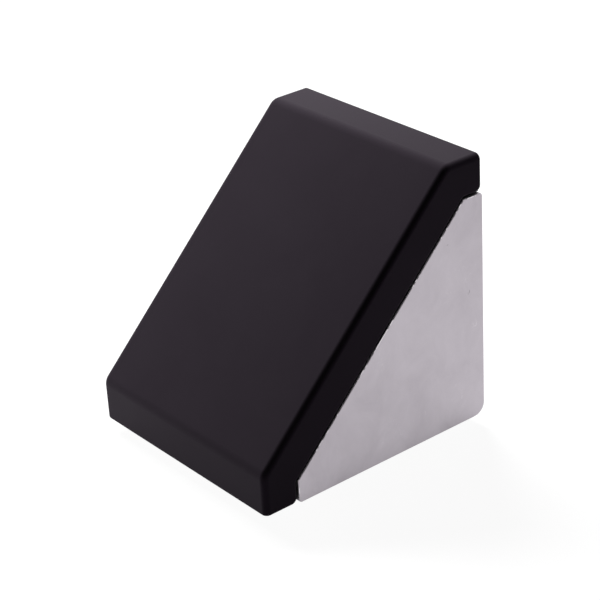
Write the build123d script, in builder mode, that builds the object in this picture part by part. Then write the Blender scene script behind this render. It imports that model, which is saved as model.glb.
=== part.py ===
from build123d import *
import os
from math import sqrt

# An angle bracket for 40 mm slotted profile: a die-cast gusset with its moulded clip-on cover.
# Units are millimetres. The two mounting faces meet at the heel: the base face is the plane Z = 0
# and looks down, the back face is the plane Y = 0 and looks along +Y. The legs run along -Y and +Z,
# and the part is symmetrical about X = 0 and about the plane halfway between its legs.
# In side view a point is (reach, height): reach is measured out along -Y, height up along Z.

# Casting
bracket_width = 35.0
leg_length = 36.0
toe_height = 5.1  # what a cheek still measures at the end of a leg
flange_thickness = 4.0
cheek_thickness = 3.4
heel_radius = 1.75
core_edge_chamfer = 0.4
panel_corner_radius = 0.5  # at the mounting faces
panel_edge_radius = 0.2
pocket_draft = 1.0  # degrees
pocket_heel_radius = 4.0
pocket_edge_radius = 1.0

# Slot for one M8 screw in each leg
slot_width = 8.4
slot_length = 13.0
slot_centre = 20.5  # from the heel
slot_chamfer = 0.3

# Lugs that key the legs into the 8 mm groove of the profile
lug_width = 7.9
lug_height = 1.5
lug_draft = 4.0  # degrees
lug_chamfer = 0.4
lug_slot_distance = 2.5
heel_lug_distance = 4.5
toe_lug_distance = 1.6

# Cover
front_wall = 2.0
end_wall = 1.8
skirt_wall = 1.6
skirt_depth = 5.6  # square to the slope
end_skirt_depth = 5.1
cover_setback = 0.25  # rim to the mounting planes
crease_radius = 1.9
side_edge_radius = 0.85
skirt_corner_radius = 0.8
skirt_notch_radius = 0.35
skirt_lip_thickness = 1.0
rim_radius = 0.3
inner_crease_radius = 0.6
inner_edge_chamfer = 0.2

# Catch hooks on the end walls of the cover, two at each leg
hook_width = 7.0
hook_spacing = 20.0  # between the centres of the two
hook_bite = 0.7
hook_height = 1.0
hook_land = 0.3

# Tongues of the cover that stand inside the cheeks, with grip ribs, and the stiffeners between them
tongue_thickness = 1.4
tongue_depth = 5.0
tongue_length = 27.0
tongue_lead = 3.0
tongue_lip_chamfer = 0.5
grip_rib_radius = 0.4
grip_rib_height = 0.1
grip_rib_spacing = 8.0
grip_rib_count = 3
stiffener_thickness = 1.1
stiffener_height = 1.2
stiffener_spacing = 9.0
stiffener_count = 3

# Fits between cover and casting
side_gap = 0.15  # skirt to cheek
front_gap = 0.2  # front wall to cheek
end_gap = 0.2  # end wall to flange
slope_seam_gap = 0.25  # skirt edge to raised panel, along the slope
end_seam_gap = 0.38  # and at the legs' ends
lip_gap = 0.1  # lip inside the skirt to raised panel
tongue_gap = 0.25  # tongue to the inside of a cheek
catch_gap = 0.15  # hook to its ledge
notch_gap = 0.3  # hook to the sides and floor of its notch

# Distances from the heel: along a leg, and square to the slope
cavity_reach = leg_length + end_gap
cover_reach = cavity_reach + end_wall
skirt_reach = cover_reach - end_skirt_depth
panel_reach = skirt_reach - end_seam_gap
cast_slope = (leg_length + toe_height) / sqrt(2)
cavity_slope = cast_slope + front_gap
cover_slope = cavity_slope + front_wall
skirt_slope = cover_slope - skirt_depth
panel_slope = skirt_slope - slope_seam_gap
lip_reach = panel_reach + lip_gap
lip_slope = panel_slope + lip_gap

# Distances from the middle of the width
panel_half_width = bracket_width / 2
cavity_half_width = panel_half_width - skirt_wall
core_half_width = cavity_half_width - side_gap
pocket_half_width = panel_half_width - cheek_thickness
tongue_face = pocket_half_width - tongue_gap
hook_places = (-hook_spacing / 2, hook_spacing / 2)

same_place = 0.001
side_plane = Plane(origin=(0, 0, 0), x_dir=(0, -1, 0), z_dir=(-1, 0, 0))
base_plane = Plane(origin=(0, 0, 0), x_dir=(0, -1, 0), z_dir=(0, 0, -1))
back_plane = Plane(origin=(0, 0, 0), x_dir=(0, 0, 1), z_dir=(0, 1, 0))


def slope_plane(distance):
    # parallel to the slope at this distance from the heel, and looking in at the heel
    offset = distance / sqrt(2)
    return Plane(origin=(0, -offset, offset), x_dir=(1, 0, 0), z_dir=(0, 1, -1))


def gusset_outline(start, reach, slope):
    # a right angle with its legs cut square at this reach and joined by the slope
    tip = slope * sqrt(2) - reach
    return [(start, start), (reach, start), (reach, tip), (tip, reach), (start, reach)]


def slope_point(along, slope):
    # a point of the side view, given along the slope from its middle and square out from the heel
    return ((slope + along) / sqrt(2), (slope - along) / sqrt(2))


def both_legs(points):
    return points, [(height, reach) for reach, height in points]


def reach_and_height(shape):
    centre = shape.center()
    return -centre.Y, centre.Z


def slope_distance(shape):
    return sum(reach_and_height(shape)) / sqrt(2)


def is_on_cover_outside(edge):
    reach, height = reach_and_height(edge)
    depth = min(cover_reach - reach, cover_reach - height, cover_slope - slope_distance(edge))
    return depth < rim_radius


def from_heel(corner):
    return corner.X + corner.Y


# The space between the flanges, drafted so that the die can be drawn out through the slope
with BuildPart() as pocket:
    with BuildSketch(slope_plane(cover_slope)):
        Rectangle(2 * pocket_half_width, 4 * leg_length)
    extrude(amount=cover_slope, taper=pocket_draft)
    with BuildSketch(side_plane):
        with Locations((flange_thickness, flange_thickness)):
            Rectangle(2 * leg_length, 2 * leg_length, align=Align.MIN)
    extrude(amount=bracket_width, both=True, mode=Mode.INTERSECT)
    heel_edge = edges().filter_by(Axis.X).sort_by(slope_distance)[0]
    fillet(heel_edge, radius=pocket_heel_radius)
    corner_edges = edges().filter_by(
        lambda e: min(reach_and_height(e)) < flange_thickness + pocket_heel_radius / 2
        and max(reach_and_height(e)) < 1.5 * leg_length
        and abs(e.center().X) > pocket_half_width / 2
    )
    fillet(corner_edges, radius=pocket_edge_radius)

with BuildPart() as bracket_body:
    # the core, as wide as the inside of the cover allows
    with BuildSketch(side_plane):
        Polygon(*gusset_outline(0, leg_length, cast_slope), align=None)
        fillet(vertices().sort_by(from_heel)[0], radius=heel_radius)
    extrude(amount=core_half_width, both=True)
    chamfer(faces().filter_by(Axis.X).edges(), length=core_edge_chamfer)
    # the raised panel that stays in sight on each cheek, flush with the skirt of the cover
    with BuildSketch(side_plane):
        Polygon(*gusset_outline(0, panel_reach, panel_slope), align=None)
        fillet(vertices().sort_by(from_heel)[1:3], radius=panel_corner_radius)
        fillet(vertices().sort_by(from_heel)[0], radius=heel_radius)
    extrude(amount=panel_half_width, both=True)
    panel_rims = faces().filter_by(Axis.X).edges().filter_by(
        lambda e: abs(e.center().X) > panel_half_width - same_place
    )
    fillet(panel_rims, radius=panel_edge_radius)
    add(pocket.part, mode=Mode.SUBTRACT)
    heel_lug_end = slot_centre - slot_length / 2 - lug_slot_distance
    toe_lug_start = slot_centre + slot_length / 2 + lug_slot_distance
    toe_lug_end = leg_length - toe_lug_distance
    for mounting_plane in (base_plane, back_plane):
        with BuildSketch(mounting_plane):
            with Locations((slot_centre, 0)):
                SlotOverall(slot_length, slot_width)
        extrude(amount=-flange_thickness - same_place, mode=Mode.SUBTRACT)
        slot_rim = edges(Select.LAST).filter_by(
            lambda e: max(e.center().Y, -e.center().Z) > -same_place
        )
        chamfer(slot_rim, length=slot_chamfer)
        for start, end in ((heel_lug_distance, heel_lug_end), (toe_lug_start, toe_lug_end)):
            with BuildSketch(mounting_plane):
                with Locations(((start + end) / 2, 0)):
                    Rectangle(end - start, lug_width)
            extrude(amount=lug_height, taper=lug_draft)
    lug_rims = edges().filter_by(lambda e: max(e.center().Y, -e.center().Z) > lug_height - same_place)
    chamfer(lug_rims, length=lug_chamfer)
    # notches across the ends of the legs, with the ledges that the cover's hooks catch behind
    notch_reach = leg_length - hook_bite - notch_gap
    ledge_height = cover_setback + hook_height + catch_gap
    notch = [(notch_reach, 0), (cover_reach, 0), (cover_reach, ledge_height), (notch_reach, ledge_height)]
    for profile in both_legs(notch):
        for place in hook_places:
            with BuildSketch(side_plane.offset(place)):
                Polygon(*profile, align=None)
            extrude(amount=hook_width / 2 + notch_gap, both=True, mode=Mode.SUBTRACT)

# The space inside the cover
with BuildPart() as cavity:
    with BuildSketch(side_plane):
        Polygon(*gusset_outline(-front_wall, cavity_reach, cavity_slope), align=None)
        fillet(vertices().sort_by(from_heel)[-2:], radius=inner_crease_radius)
    extrude(amount=cavity_half_width, both=True)
    chamfer(faces().filter_by(Axis.X).edges(), length=inner_edge_chamfer)

with BuildPart() as cover_cap:
    with BuildSketch(side_plane):
        Polygon(*gusset_outline(cover_setback, cover_reach, cover_slope), align=None)
        Polygon(*gusset_outline(0, skirt_reach, skirt_slope), align=None, mode=Mode.SUBTRACT)
        fillet(vertices().sort_by(from_heel)[-2:], radius=crease_radius)
        skirt_ends = vertices().filter_by(lambda v: abs(max(v.X, v.Y) - skirt_reach) < same_place)
        fillet(skirt_ends.sort_by(from_heel)[:2], radius=skirt_corner_radius)
        skirt_ends = vertices().filter_by(lambda v: abs(max(v.X, v.Y) - skirt_reach) < same_place)
        fillet(skirt_ends.sort_by(from_heel)[-2:], radius=skirt_notch_radius)
    extrude(amount=panel_half_width, both=True)
    fillet(faces().filter_by(Axis.X).edges().filter_by(is_on_cover_outside), radius=side_edge_radius)
    # each end of the rim starts a smooth chain of edges that runs all the way round the skirt
    rim_ends = edges().filter_by(Axis.X).filter_by(is_on_cover_outside).filter_by(
        lambda e: abs(min(reach_and_height(e)) - cover_setback) < same_place
    )
    fillet(rim_ends, radius=rim_radius)
    # a lip inside the skirt on each side, which closes the seam from behind
    for side in (-1, 1):
        with BuildSketch(side_plane.offset(side * (cavity_half_width + skirt_lip_thickness / 2))):
            Polygon(*gusset_outline(cover_setback, cavity_reach, cavity_slope), align=None)
            Polygon(*gusset_outline(0, lip_reach, lip_slope), align=None, mode=Mode.SUBTRACT)
        extrude(amount=skirt_lip_thickness / 2, both=True)
    add(cavity.part, mode=Mode.SUBTRACT)
    # hooks that catch behind the ends of the legs, ramped so that they ride over the flange
    hook_tip = leg_length - hook_bite
    hook_top = cover_setback + hook_height
    hook_root = cavity_reach + end_wall / 2
    hook = [
        (hook_root, cover_setback + rim_radius),
        (leg_length, cover_setback),
        (hook_tip, hook_top - hook_land),
        (hook_tip, hook_top),
        (leg_length, hook_top),
        (cavity_reach, hook_top + end_gap),
        (hook_root, hook_top + end_gap),
    ]
    for profile in both_legs(hook):
        for place in hook_places:
            with BuildSketch(side_plane.offset(place)):
                Polygon(*profile, align=None)
            extrude(amount=hook_width / 2, both=True)
    # tongues, sloped at their ends and chamfered to find their way in between the cheeks
    tongue_root = cavity_slope + front_wall / 2
    tongue_tip = cavity_slope - tongue_depth
    tongue_end = tongue_length / 2
    tongue = [
        slope_point(-tongue_end, tongue_root),
        slope_point(-tongue_end, cavity_slope),
        slope_point(tongue_lead - tongue_end, tongue_tip),
        slope_point(tongue_end - tongue_lead, tongue_tip),
        slope_point(tongue_end, cavity_slope),
        slope_point(tongue_end, tongue_root),
    ]
    for side in (-1, 1):
        with BuildSketch(side_plane.offset(side * (tongue_face - tongue_thickness / 2))):
            Polygon(*tongue, align=None)
        extrude(amount=tongue_thickness / 2, both=True)
    tongue_lips = edges().filter_by(
        lambda e: abs(slope_distance(e) - tongue_tip) < same_place
        and abs(abs(e.center().X) - tongue_face) < same_place
    )
    chamfer(tongue_lips, length=tongue_lip_chamfer)
    with BuildSketch(slope_plane(tongue_root)):
        rib_line = tongue_face + grip_rib_height - grip_rib_radius
        with GridLocations(2 * rib_line, grip_rib_spacing, 2, grip_rib_count):
            Circle(grip_rib_radius)
    extrude(amount=tongue_root - tongue_tip - tongue_lip_chamfer)
    with BuildSketch(slope_plane(tongue_root)):
        with GridLocations(0, stiffener_spacing, 1, stiffener_count):
            Rectangle(2 * tongue_face - tongue_thickness, stiffener_thickness)
    extrude(amount=tongue_root - cavity_slope + stiffener_height)

bracket_body.part.label = "bracket_body"
cover_cap.part.label = "cover_cap"
os.makedirs("parts", exist_ok=True)
export_step(bracket_body.part, "parts/bracket_body.step")
export_step(cover_cap.part, "parts/cover_cap.step")
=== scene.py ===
import bpy
import math
import numpy as np
from mathutils import Matrix, Vector


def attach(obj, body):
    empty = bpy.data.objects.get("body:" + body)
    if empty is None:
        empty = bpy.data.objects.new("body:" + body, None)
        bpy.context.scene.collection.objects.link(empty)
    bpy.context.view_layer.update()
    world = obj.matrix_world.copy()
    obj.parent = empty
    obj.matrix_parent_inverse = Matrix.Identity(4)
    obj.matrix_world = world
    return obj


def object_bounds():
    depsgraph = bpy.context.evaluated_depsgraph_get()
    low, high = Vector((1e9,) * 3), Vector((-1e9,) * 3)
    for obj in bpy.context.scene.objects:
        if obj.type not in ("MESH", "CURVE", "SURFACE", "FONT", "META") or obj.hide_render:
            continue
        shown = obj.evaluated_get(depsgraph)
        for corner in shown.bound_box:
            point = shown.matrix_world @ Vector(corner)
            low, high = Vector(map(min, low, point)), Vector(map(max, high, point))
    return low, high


# A die-cast corner bracket with its black moulded cover, on a pale floor. Metres throughout.

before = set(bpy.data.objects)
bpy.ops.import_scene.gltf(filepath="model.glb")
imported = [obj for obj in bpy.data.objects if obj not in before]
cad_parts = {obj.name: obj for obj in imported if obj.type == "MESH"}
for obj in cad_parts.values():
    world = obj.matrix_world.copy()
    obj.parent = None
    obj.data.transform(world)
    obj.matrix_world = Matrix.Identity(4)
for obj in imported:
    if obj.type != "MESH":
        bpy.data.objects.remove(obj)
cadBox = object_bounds()
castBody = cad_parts["bracket_body"]
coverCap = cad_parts["cover_cap"]
print("frame loaded:", sorted(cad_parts))


def addNode(tree, kind, inputs=None, **options):
    # a node with its options set; an input is named by its label or its place, and is given
    # either a value or another node's output
    node = tree.nodes.new(kind)
    for name, value in options.items():
        setattr(node, name, value)
    for socket, given in (inputs or {}).items():
        if isinstance(given, bpy.types.NodeSocket):
            tree.links.new(given, node.inputs[socket])
        else:
            node.inputs[socket].default_value = given
    return node


def mathNode(tree, operation, *inputs):
    # the result of one sum on numbers, each a value or an output
    node = addNode(tree, "ShaderNodeMath", dict(enumerate(inputs)), operation=operation)
    return node.outputs["Value"]


def vectorNode(tree, operation, *inputs, result="Vector"):
    # the same for vectors; the result is "Value" where a number comes out
    node = addNode(tree, "ShaderNodeVectorMath", dict(enumerate(inputs)), operation=operation)
    return node.outputs[result]


def rampNode(tree, value, start, end, low=0.0, high=1.0, smooth=False):
    # the value carried from start..end to low..high, and held beyond both
    node = addNode(
        tree, "ShaderNodeMapRange",
        {"Value": value, "From Min": start, "From Max": end, "To Min": low, "To Max": high},
        interpolation_type="SMOOTHSTEP" if smooth else "LINEAR",
    )
    return node.outputs["Result"]


# where a Mix node keeps its two inputs and its result, for each kind of data
mixPlaces = {"FLOAT": (2, 3, 0), "RGBA": (6, 7, 2)}


def mixNode(tree, kind, factor, first, second):
    firstPlace, secondPlace, resultPlace = mixPlaces[kind]
    node = addNode(
        tree, "ShaderNodeMix", {0: factor, firstPlace: first, secondPlace: second}, data_type=kind
    )
    return node.outputs[resultPlace]


def objectPlace(tree):
    return addNode(tree, "ShaderNodeTexCoord").outputs["Object"]


def newMaterial(name):
    material = bpy.data.materials.new(name)
    material.use_nodes = True
    tree = material.node_tree
    tree.nodes.clear()
    shader = addNode(tree, "ShaderNodeBsdfPrincipled")
    addNode(tree, "ShaderNodeOutputMaterial", {"Surface": shader.outputs["BSDF"]})
    return material, tree, shader


def newGroup(name, inputs, outputs):
    # inputs are labels with their usual values, a triple for a vector; outputs are labels of numbers
    tree = bpy.data.node_groups.new(name, "ShaderNodeTree")
    for label, value in inputs.items():
        kind = "NodeSocketVector" if isinstance(value, tuple) else "NodeSocketFloat"
        socket = tree.interface.new_socket(name=label, in_out="INPUT", socket_type=kind)
        socket.default_value = value
    for label in outputs:
        tree.interface.new_socket(name=label, in_out="OUTPUT", socket_type="NodeSocketFloat")
    return tree, addNode(tree, "NodeGroupInput"), addNode(tree, "NodeGroupOutput")


def placeGroup(tree, group, values=None):
    return addNode(tree, "ShaderNodeGroup", values, node_tree=group)


# Edge mask: 1 where the surface turns within the width, from the angle between the true normal
# and the normal that a bevel of that width would have; broken up by noise so that it looks rubbed.
# It carries rubbed wear, and on the plastic partly a painted sheen.
def makeEdgeWear():
    tree, given, result = newGroup(
        "edgeWearAndSheen", {"Width": 0.0003, "Patch Scale": 900.0, "Patchiness": 0.5}, ["Mask"]
    )
    bevel = addNode(tree, "ShaderNodeBevel", {"Radius": given.outputs["Width"]}, samples=6)
    normal = addNode(tree, "ShaderNodeNewGeometry").outputs["Normal"]
    cosine = vectorNode(tree, "DOT_PRODUCT", bevel.outputs["Normal"], normal, result="Value")
    turned = rampNode(tree, cosine, 0.998, 0.90)  # starts 4 degrees apart, full at 26
    patches = addNode(tree, "ShaderNodeTexNoise", {
        "Vector": objectPlace(tree), "Scale": given.outputs["Patch Scale"],
        "Detail": 3.0, "Roughness": 0.6,
    })
    rubbed = rampNode(tree, patches.outputs["Fac"], 0.38, 0.62)  # hard patches, about half of it all
    kept = mixNode(tree, "FLOAT", given.outputs["Patchiness"], 1.0, rubbed)
    tree.links.new(mathNode(tree, "MULTIPLY", turned, kept), result.inputs["Mask"])
    return tree


# Grain: fine noise over a coarser one, as a height from 0 to 1 for a Bump node, and a slow
# mottle from 0 to 1 that follows a stretched pattern, for colour and roughness.
def makeGrain():
    tree, given, result = newGroup("surfaceGrain", {
        "Fine Scale": 6000.0, "Coarse Scale": 1500.0, "Coarse Share": 0.5,
        "Mottle Scale": 160.0, "Mottle Stretch": (1.0, 1.0, 1.0),
    }, ["Height", "Mottle"])
    place = objectPlace(tree)
    fine = addNode(tree, "ShaderNodeTexNoise", {
        "Vector": place, "Scale": given.outputs["Fine Scale"], "Detail": 2.0, "Roughness": 0.55,
    })
    coarse = addNode(tree, "ShaderNodeTexNoise", {
        "Vector": place, "Scale": given.outputs["Coarse Scale"], "Detail": 3.0, "Roughness": 0.5,
    })
    height = mixNode(
        tree, "FLOAT", given.outputs["Coarse Share"], fine.outputs["Fac"], coarse.outputs["Fac"]
    )
    tree.links.new(height, result.inputs["Height"])
    mottle = addNode(tree, "ShaderNodeTexNoise", {
        "Vector": vectorNode(tree, "MULTIPLY", place, given.outputs["Mottle Stretch"]),
        "Scale": given.outputs["Mottle Scale"], "Detail": 5.0, "Roughness": 0.6, "Distortion": 0.4,
    })
    spread = rampNode(tree, mottle.outputs["Fac"], 0.3, 0.7)  # noise hardly ever leaves this range
    tree.links.new(spread, result.inputs["Mottle"])
    return tree


# Marks: a few cells of a random pattern, each with a spot at its middle, as a mask from 0 to 1;
# a finer noise bends the pattern, so that no spot is quite round.
def makeMarks():
    tree, given, result = newGroup(
        "scatteredMarks", {"Scale": 900.0, "Share": 0.2, "Size": 0.3}, ["Mask"]
    )
    bendScale, bendReach = 2600.0, 0.00018
    place = objectPlace(tree)
    bend = addNode(
        tree, "ShaderNodeTexNoise", {"Vector": place, "Scale": bendScale, "Detail": 1.0}
    )
    bent = vectorNode(tree, "MULTIPLY_ADD", bend.outputs["Color"], (bendReach,) * 3, place)
    cells = addNode(
        tree, "ShaderNodeTexVoronoi", {"Vector": bent, "Scale": given.outputs["Scale"]}, feature="F1"
    )
    chance = addNode(tree, "ShaderNodeSeparateColor", {"Color": cells.outputs["Color"]}).outputs
    present = mathNode(tree, "LESS_THAN", chance["Red"], given.outputs["Share"])
    width = mathNode(tree, "MULTIPLY", chance["Green"], given.outputs["Size"])
    spot = rampNode(tree, cells.outputs["Distance"], 0.0, width, low=1.0, high=0.0, smooth=True)
    tree.links.new(mathNode(tree, "MULTIPLY", spot, present), result.inputs["Mask"])
    return tree


# Scuffs: the thin lines where a stretched, wavy noise crosses its middle value, kept in patches.
def makeScuffs():
    tree, given, result = newGroup("fineScuffs", {
        "Stretch": (200.0, 1400.0, 1400.0), "Turn": (0.4, 0.7, 0.2), "Width": 0.01,
    }, ["Mask"])
    crossing = 0.5
    place = objectPlace(tree)
    turned = addNode(tree, "ShaderNodeVectorRotate", {
        "Vector": place, "Rotation": given.outputs["Turn"],
    }, rotation_type="EULER_XYZ")
    drawn = vectorNode(tree, "MULTIPLY", turned.outputs["Vector"], given.outputs["Stretch"])
    lines = addNode(tree, "ShaderNodeTexNoise", {"Vector": drawn, "Scale": 1.0, "Detail": 1.0})
    offset = mathNode(tree, "SUBTRACT", lines.outputs["Fac"], crossing)
    near = mathNode(tree, "ABSOLUTE", offset)
    thin = rampNode(tree, near, 0.0, given.outputs["Width"], low=1.0, high=0.0)
    patches = addNode(tree, "ShaderNodeTexNoise", {"Vector": place, "Scale": 260.0, "Detail": 2.0})
    where = rampNode(tree, patches.outputs["Fac"], 0.52, 0.66)  # less than half of the surface
    tree.links.new(mathNode(tree, "MULTIPLY", thin, where), result.inputs["Mask"])
    return tree


# Painted gap shade: a mask that is 1 deep inside gaps narrower than the reach, from how much of
# the sky a point can see: full where it sees less than a fifth of it, and none where it sees more than
# half.
def makeCrevice():
    tree, given, result = newGroup("paintedGapShade", {"Reach": 0.002}, ["Mask"])
    around = addNode(
        tree, "ShaderNodeAmbientOcclusion", {"Distance": given.outputs["Reach"]}, samples=12
    )
    deep = rampNode(tree, around.outputs["AO"], 0.2, 0.5, low=1.0, high=0.0, smooth=True)
    tree.links.new(deep, result.inputs["Mask"])
    return tree


# Nicks: one thin oval spot at each place given, as (middle, half sizes) in metres; full out to
# the core's share of the half size, and gone at the rim.
def makeNicks(name, nicks):
    tree, given, result = newGroup(name, {}, ["Mask"])
    core, rim = 0.4, 1.0
    place = objectPlace(tree)
    total = None
    for middle, halfSizes in nicks:
        scaled = vectorNode(tree, "DIVIDE", vectorNode(tree, "SUBTRACT", place, middle), halfSizes)
        away = vectorNode(tree, "LENGTH", scaled, result="Value")
        spot = rampNode(tree, away, core, rim, low=1.0, high=0.0, smooth=True)
        total = spot if total is None else mathNode(tree, "MAXIMUM", total, spot)
    tree.links.new(total, result.inputs["Mask"])
    return tree


edgeWearAndSheen = makeEdgeWear()
surfaceGrain = makeGrain()
scatteredMarks = makeMarks()
fineScuffs = makeScuffs()
paintedGapShade = makeCrevice()
print("node groups made")


# Every skin is built alike: two tones mixed by the mottle, then changed in the marks and nicks,
# lightened by the scuffs, paler at the edges (rubbed wear, on the plastic partly a painted sheen) and
# darkened by painted shade in gaps; roughness follows the same masks, and the bump is the grain with
# the marks sunk into it.
def skinMaterial(name, look):
    material, tree, shader = newMaterial(name)
    grain = placeGroup(tree, surfaceGrain, look["grain"])
    marks = placeGroup(tree, scatteredMarks, look["marks"])
    scuffs = placeGroup(tree, fineScuffs, look["scuffs"])
    wearAndSheen = placeGroup(tree, edgeWearAndSheen, look["wearAndSheen"])
    crevice = placeGroup(tree, paintedGapShade, {"Reach": look["creviceReach"]})
    nicks = placeGroup(tree, makeNicks(name + "Nicks", look["nicks"]))
    # mask, colour, roughness, share
    layers = (
        (grain.outputs["Mottle"], look["pale"], look["roughness"][1], 1.0),
        (marks.outputs["Mask"], look["markColour"], look["markRoughness"], look["markDepth"]),
        (nicks.outputs["Mask"], look["markColour"], look["markRoughness"], look["nickDepth"]),
        (scuffs.outputs["Mask"], look["edge"], look["edgeRoughness"], look["scuffShare"]),
        (wearAndSheen.outputs["Mask"], look["edge"], look["edgeRoughness"], look["edgeShare"]),
        # painted shade: the colour darkened deep in gaps
        (crevice.outputs["Mask"], look["paintedGapShadeColour"], look["creviceRoughness"],
         look["paintedGapShadeShare"]),
    )
    colour, rough = (*look["dark"], 1), look["roughness"][0]
    for mask, tone, roughness, share in layers:
        amount = mathNode(tree, "MULTIPLY", mask, share)
        colour = mixNode(tree, "RGBA", amount, colour, (*tone, 1))
        rough = mixNode(tree, "FLOAT", amount, rough, roughness)
    sunk = mathNode(
        tree, "MULTIPLY_ADD", marks.outputs["Mask"], -look["markSink"], grain.outputs["Height"]
    )
    bump = addNode(tree, "ShaderNodeBump", {
        "Strength": look["grainStrength"], "Distance": look["grainHeight"], "Height": sunk,
    })
    tree.links.new(colour, shader.inputs["Base Color"])
    tree.links.new(rough, shader.inputs["Roughness"])
    tree.links.new(bump.outputs["Normal"], shader.inputs["Normal"])
    shader.inputs["Metallic"].default_value = look["metallic"]
    shader.inputs["Specular IOR Level"].default_value = look["specular"]
    shader.inputs["Specular Tint"].default_value = (*look["specularTint"], 1)
    return material


# Tumbled die-cast aluminium: a dull grey skin, mottled where the metal flowed, with a fine
# blasted grain, a few pits and nicks, and paler rubbed edges.
castLook = {
    "pale": (0.617, 0.576, 0.623),
    "dark": (0.488, 0.451, 0.493),
    "edge": (0.84, 0.80, 0.84),
    "edgeShare": 0.8,
    "roughness": (0.42, 0.56),  # in the dark and in the pale tone
    "edgeRoughness": 0.33,
    "grain": {
        "Fine Scale": 5200.0, "Coarse Scale": 1300.0, "Coarse Share": 0.5,
        "Mottle Scale": 190.0, "Mottle Stretch": (1.0, 1.0, 0.8),
    },
    "grainHeight": 0.00003,
    "grainStrength": 0.35,
    "wearAndSheen": {"Width": 0.00025, "Patch Scale": 900.0, "Patchiness": 0.6},
    "marks": {"Scale": 420.0, "Share": 0.10, "Size": 0.10},
    "markColour": (0.30, 0.28, 0.30),
    "markRoughness": 0.7,
    "markDepth": 0.5,
    "markSink": 1.2,
    "nicks": (
        ((0.0175, -0.00255, 0.0192), (0.0003, 0.00007, 0.00036)),
        ((0.0175, -0.0028, 0.0190), (0.0003, 0.00005, 0.00030)),
        ((0.0175, -0.0063, 0.0272), (0.0003, 0.00020, 0.00007)),
        ((-0.0175, -0.0118, 0.0094), (0.0003, 0.00028, 0.00006)),
        ((-0.0175, -0.0049, 0.0223), (0.0003, 0.00006, 0.00030)),
        ((0.0092, 0.0, 0.0131), (0.00032, 0.0003, 0.00006)),
        ((-0.0121, 0.0, 0.0262), (0.00007, 0.0003, 0.00035)),
    ),
    "nickDepth": 0.75,
    "scuffs": {"Stretch": (160.0, 1100.0, 1100.0), "Turn": (0.5, 0.9, 0.3), "Width": 0.010},
    "scuffShare": 0.25,
    "creviceReach": 0.002,
    # painted shade deep in the gaps
    "paintedGapShadeColour": (0.05, 0.048, 0.05),
    "creviceRoughness": 0.8,
    "paintedGapShadeShare": 0.9,
    "metallic": 1.0,
    "specular": 0.5,
    "specularTint": (1.0, 1.0, 1.0),
}

# Black glass-filled polyamide: matt, with the fine grain of an eroded mould and slow changes of
# gloss where the melt cooled unevenly; a little paler at the edges, where hands rub and partly as a
# painted sheen.
plasticLook = {
    "pale": (0.0231, 0.0192, 0.0239),
    "dark": (0.0193, 0.0160, 0.0199),
    "edge": (0.0312, 0.0250, 0.0327),
    # the paler edge is rubbed wear and partly a painted sheen
    "edgeShare": 0.12,
    "roughness": (0.46, 0.56),
    "edgeRoughness": 0.48,
    "grain": {
        "Fine Scale": 7000.0, "Coarse Scale": 2200.0, "Coarse Share": 0.5,
        "Mottle Scale": 70.0, "Mottle Stretch": (1.0, 1.0, 1.0),
    },
    "grainHeight": 0.00002,
    "grainStrength": 0.25,
    "wearAndSheen": {"Width": 0.0003, "Patch Scale": 900.0, "Patchiness": 0.7},
    "marks": {"Scale": 700.0, "Share": 0.06, "Size": 0.08},
    "markColour": (0.034, 0.029, 0.035),
    "markRoughness": 0.6,
    "markDepth": 0.5,
    "markSink": 0.4,
    "nicks": (
        ((-0.0081, -0.0243, 0.0196), (0.00040, 0.00010, 0.00010)),
        ((0.0112, -0.0031, 0.0380), (0.00008, 0.00030, 0.00030)),
    ),
    "nickDepth": 0.3,
    "scuffs": {"Stretch": (150.0, 1000.0, 1000.0), "Turn": (0.9, 0.3, 0.6), "Width": 0.008},
    "scuffShare": 0.25,
    "creviceReach": 0.002,
    # painted shade, nearly black, deep in the gaps
    "paintedGapShadeColour": (0.002, 0.0018, 0.002),
    "creviceRoughness": 0.9,
    "paintedGapShadeShare": 1.0,
    "metallic": 0.0,
    "specular": 0.06,
    "specularTint": (1.0, 0.40, 1.18),
}


def dress(piece, material):
    piece.data.materials.clear()
    piece.data.materials.append(material)


dress(castBody, skinMaterial("castAluminium", castLook))
dress(coverCap, skinMaterial("blackPolyamide", plasticLook))
print("materials on")


# The flash that the die leaves along the parting edge of each cheek: a thin ragged fin, rooted
# just inside the edge, that stands out towards the cover's skirt by an uneven height.
flash = {
    "cheekFace": 0.0175,  # the cheek's outer face, from the middle
    # the edge along the seam, as y and z: the top end, the slope's two ends, the foot
    "path": ((-0.0008, 0.03232), (-0.0033353, 0.03232), (-0.03232, 0.0033353), (-0.03232, 0.0008)),
    "step": 0.00006,  # from one section of the fin to the next
    "root": 0.00002,  # how far inside the edge the fin starts
    "frontDepth": 0.000004,  # how far its front, back and tip lie under the cheek's outer face
    "backDepth": 0.00007,
    "tipDepth": 0.00003,
    "least": 0.00001,  # how far it stands out, at least and at most
    "most": 0.0002,
    "waves": ((0.0030, 0.35), (0.0009, 0.40), (0.00035, 0.45)),  # length and share of each ripple
    "flatShare": 0.40,  # the part of the ripple that is cut away, so that the fin comes and goes
    "gain": 3.6,  # how fast the rest grows to the most
    "fade": 0.0005,  # the fin runs out over this length at both ends
    "seed": 7,
    # what differs from the casting's skin: paler, as bright torn metal and partly a painted glint
    # along the seam, and without the painted gap shade
    "look": {"pale": (0.92, 0.89, 0.93), "dark": (0.70, 0.67, 0.71), "paintedGapShadeShare": 0.0},
}


def rippleAlong(distance, waves, draw):
    # random values at even steps, joined by straight lines, one line for each wave length, and
    # the lines' average by share
    total = np.zeros_like(distance)
    for length, share in waves:
        knots = np.arange(0.0, distance[-1] + 2 * length, length)
        total += share * np.interp(distance, knots, draw.random(len(knots)))
    return total / sum(share for length, share in waves)


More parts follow.
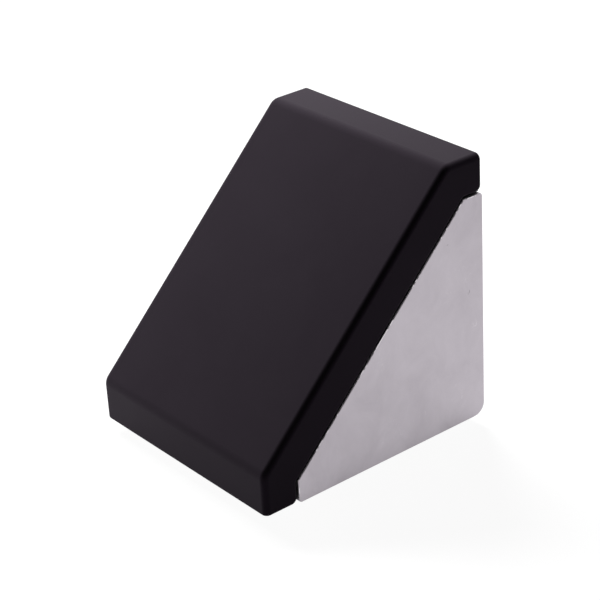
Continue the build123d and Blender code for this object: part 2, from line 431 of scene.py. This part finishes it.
# A three-cornered profile carried along the path and closed at both ends: two corners inside the
# edge, at the front and back depths, and a tip outside it. The tip's height is the least plus a
# share of the rest, where the share is the gain times what the ripple has over its flat part,
# at most 1; it fades to nothing at both ends.
def makeFlash(name, side, shape, skin, draw):
    path = np.array(shape["path"])
    legs = np.linalg.norm(np.diff(path, axis=0), axis=1)
    along = np.concatenate(([0.0], np.cumsum(legs)))
    distance = np.arange(0.0, along[-1], shape["step"])
    edge = np.column_stack([np.interp(distance, along, path[:, k]) for k in (0, 1)])
    # the way out of the cheek, square to the path
    heading = np.gradient(edge, axis=0)
    heading /= np.linalg.norm(heading, axis=1, keepdims=True)
    outward = np.column_stack([heading[:, 1], -heading[:, 0]])
    if outward[:, 1].sum() < 0:
        outward = -outward
    ripple = np.maximum(0.0, rippleAlong(distance, shape["waves"], draw) - shape["flatShare"])
    share = np.minimum(1.0, shape["gain"] * ripple)
    fade = np.minimum(1.0, np.minimum(distance, distance[-1] - distance) / shape["fade"])
    height = (shape["least"] + (shape["most"] - shape["least"]) * share) * fade
    inside = np.full(len(distance), -shape["root"])
    corners = (
        (shape["frontDepth"], inside),
        (shape["backDepth"], inside),
        (shape["tipDepth"], height),
    )
    rows = []
    for depth, reach in corners:
        x = np.full(len(distance), side * (shape["cheekFace"] - depth))
        rows.append(np.column_stack([x, edge + outward * reach[:, None]]))
    points = np.stack(rows, axis=1)
    index = np.arange(len(distance) * len(corners)).reshape(-1, len(corners))
    nextIndex = np.roll(index, -1, axis=1)
    quads = np.stack([index[:-1], nextIndex[:-1], nextIndex[1:], index[1:]], axis=-1).reshape(-1, 4)
    ends = [index[0][::-1].tolist(), index[-1].tolist()]
    if side > 0:  # turned round, so that the faces point outwards on this side too
        quads, ends = quads[:, ::-1], [end[::-1] for end in ends]
    mesh = bpy.data.meshes.new(name)
    mesh.from_pydata(points.reshape(-1, 3).tolist(), [], quads.tolist() + ends)
    mesh.update()
    piece = bpy.data.objects.new(name, mesh)
    bpy.context.collection.objects.link(piece)
    dress(piece, skin)
    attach(piece, "root")


# paler fin skin: fresh metal, and partly a painted glint along the seam
flashSkin = skinMaterial("freshAluminiumAndGlint", dict(castLook, **flash["look"]))
flashDraw = np.random.default_rng(flash["seed"])
makeFlash("flashRight", 1, flash, flashSkin, flashDraw)
makeFlash("flashLeft", -1, flash, flashSkin, flashDraw)
print("flash made")


studio = {
    "floorColour": (0.15, 0.15, 0.15),
    "floorShown": 0.94,  # what the camera sees of the paper, besides its own shading
    "floorMirrored": 0.83,  # and what reflections see of it
    "floorSize": 3.0,
    # the reach of the painted contact shadow that reflections see on the paper
    "contactReach": 0.006,  # how near the object dims the paper that reflections see
    "worldLevel": 0.02,  # what falls on things
    "worldShown": 0.95,  # what the camera sees of the world, level with the far end of the paper
    # where the room is dark in reflections, in degrees, full inside the inner angle
    "darkSide": {"azimuth": 50, "elevation": 28, "inner": 42, "outer": 82, "level": 0.02},
    "aim": (0.0, -0.019, 0.019),  # what the lamps point at
}

# azimuth and elevation in degrees seen from the object, distance and size in metres, power in watts
lamps = {
    "leftHighLamp": {"azimuth": -94, "elevation": 41, "distance": 0.25, "size": 0.125, "power": 0.62},
    "leftBackLamp": {"azimuth": -127, "elevation": 54, "distance": 0.12, "size": 0.06, "power": 0.205},
    "lowFrontLamp": {"azimuth": -50, "elevation": -4, "distance": 0.11, "size": 0.02, "power": 0.082},
}


def wayFrom(azimuth, elevation):
    # the unit vector towards this azimuth and elevation in degrees; azimuth 0 is -Y, 90 is +X
    turn, rise = math.radians(azimuth), math.radians(elevation)
    return Vector((math.sin(turn) * math.cos(rise), -math.cos(turn) * math.cos(rise), math.sin(rise)))


def strengthSeen(tree, shown, mirrored):
    # one strength for the camera and for what is seen through clear things, another for
    # reflections, and none for the light that falls on things
    path = addNode(tree, "ShaderNodeLightPath").outputs
    clear = mathNode(tree, "MAXIMUM", path["Is Camera Ray"], path["Is Transmission Ray"])
    seen = mathNode(tree, "MULTIPLY", clear, shown)
    return mathNode(tree, "MAXIMUM", seen, mathNode(tree, "MULTIPLY", path["Is Glossy Ray"], mirrored))


# White paper: the camera and reflections see its glow, and reflections see that glow sink under a
# painted shadow where the object stands close over it; its own shading keeps the shadow.
def layFloor(look):
    half = look["floorSize"] / 2
    z = float(cadBox[0][2])
    mesh = bpy.data.meshes.new("floor")
    corners = [(-half, -half, z), (half, -half, z), (half, half, z), (-half, half, z)]
    mesh.from_pydata(corners, [], [(0, 1, 2, 3)])
    floor = bpy.data.objects.new("floor", mesh)
    bpy.context.collection.objects.link(floor)
    material, tree, shader = newMaterial("floorPaper")
    shader.inputs["Base Color"].default_value = (*look["floorColour"], 1)
    shader.inputs["Roughness"].default_value = 1.0
    shader.inputs["Specular IOR Level"].default_value = 0.0
    shader.inputs["Emission Color"].default_value = (1, 1, 1, 1)
    # painted contact shadow: the glow that reflections see, dimmed where the object hides the sky
    around = addNode(tree, "ShaderNodeAmbientOcclusion", {"Distance": look["contactReach"]})
    glowUnderPaintedShadow = mathNode(tree, "MULTIPLY", around.outputs["AO"], look["floorMirrored"])
    glow = strengthSeen(tree, look["floorShown"], glowUnderPaintedShadow)
    tree.links.new(glow, shader.inputs["Emission Strength"])
    material.cycles.emission_sampling = "NONE"
    dress(floor, material)


def hangLamp(name, setting, aim):
    away = wayFrom(setting["azimuth"], setting["elevation"])
    light = bpy.data.lights.new(name, "AREA")
    light.shape = "DISK"
    light.size = setting["size"]
    light.energy = setting["power"]
    lamp = bpy.data.objects.new(name, light)
    bpy.context.collection.objects.link(lamp)
    lamp.location = Vector(aim) + away * setting["distance"]
    lamp.rotation_euler = away.to_track_quat("Z", "Y").to_euler()
    lamp.visible_camera = False
    lamp.visible_glossy = False  # gloss mirrors the paper and the room instead


# White all round for the camera, and for reflections too, except on the side where the room is
# dark; the level that falls on things is set apart.
def lightWorld(look):
    world = bpy.data.worlds.new("studioWorld")
    bpy.context.scene.world = world
    world.use_nodes = True
    tree = world.node_tree
    background = tree.nodes["Background"]
    background.inputs["Color"].default_value = (1, 1, 1, 1)
    dark = look["darkSide"]
    direction = addNode(tree, "ShaderNodeTexCoord").outputs["Generated"]
    towards = wayFrom(dark["azimuth"], dark["elevation"])
    cosine = vectorNode(tree, "DOT_PRODUCT", direction, towards, result="Value")
    outer, inner = (math.cos(math.radians(dark[angle])) for angle in ("outer", "inner"))
    shade = rampNode(tree, cosine, outer, inner, low=1.0, high=dark["level"], smooth=True)
    seen = strengthSeen(tree, look["worldShown"], shade)
    level = mathNode(tree, "MAXIMUM", seen, look["worldLevel"])
    tree.links.new(level, background.inputs["Strength"])
    world.cycles.sampling_method = "NONE"


cameraSetting = {
    "azimuth": 51.93,  # degrees; 0 looks along +Y
    "elevation": 26.95,
    "roll": -3.30,
    "lens": 116.34,  # millimetres, as the sensor's width
    "sensor": 36.0,
    "distance": 0.27511,  # from the heel, along the line of sight
    "across": -0.013908,  # from the heel, to the camera's right
    "above": 0.009546,  # from the heel, upwards in the picture
    "clip": (0.01, 10),  # the nearest and farthest that it sees
}


def placeCamera(setting):
    azimuth, roll = math.radians(setting["azimuth"]), math.radians(setting["roll"])
    back = wayFrom(setting["azimuth"], setting["elevation"])
    level = Vector((math.cos(azimuth), math.sin(azimuth), 0))
    upright = back.cross(level)
    right = level * math.cos(roll) + upright * math.sin(roll)
    up = upright * math.cos(roll) - level * math.sin(roll)
    place = right * setting["across"] + up * setting["above"] + back * setting["distance"]
    lens = bpy.data.cameras.new("camera")
    lens.lens = setting["lens"]
    lens.sensor_width = setting["sensor"]
    lens.clip_start, lens.clip_end = setting["clip"]
    camera = bpy.data.objects.new("camera", lens)
    bpy.context.collection.objects.link(camera)
    axes = Matrix((right, up, back)).transposed()
    camera.matrix_world = Matrix.Translation(place) @ axes.to_4x4()
    bpy.context.scene.camera = camera


layFloor(studio)
lightWorld(studio)
for lampName, lampSetting in lamps.items():
    hangLamp(lampName, lampSetting, studio["aim"])
placeCamera(cameraSetting)
bpy.context.scene.view_settings.view_transform = "Standard"
print("studio set")
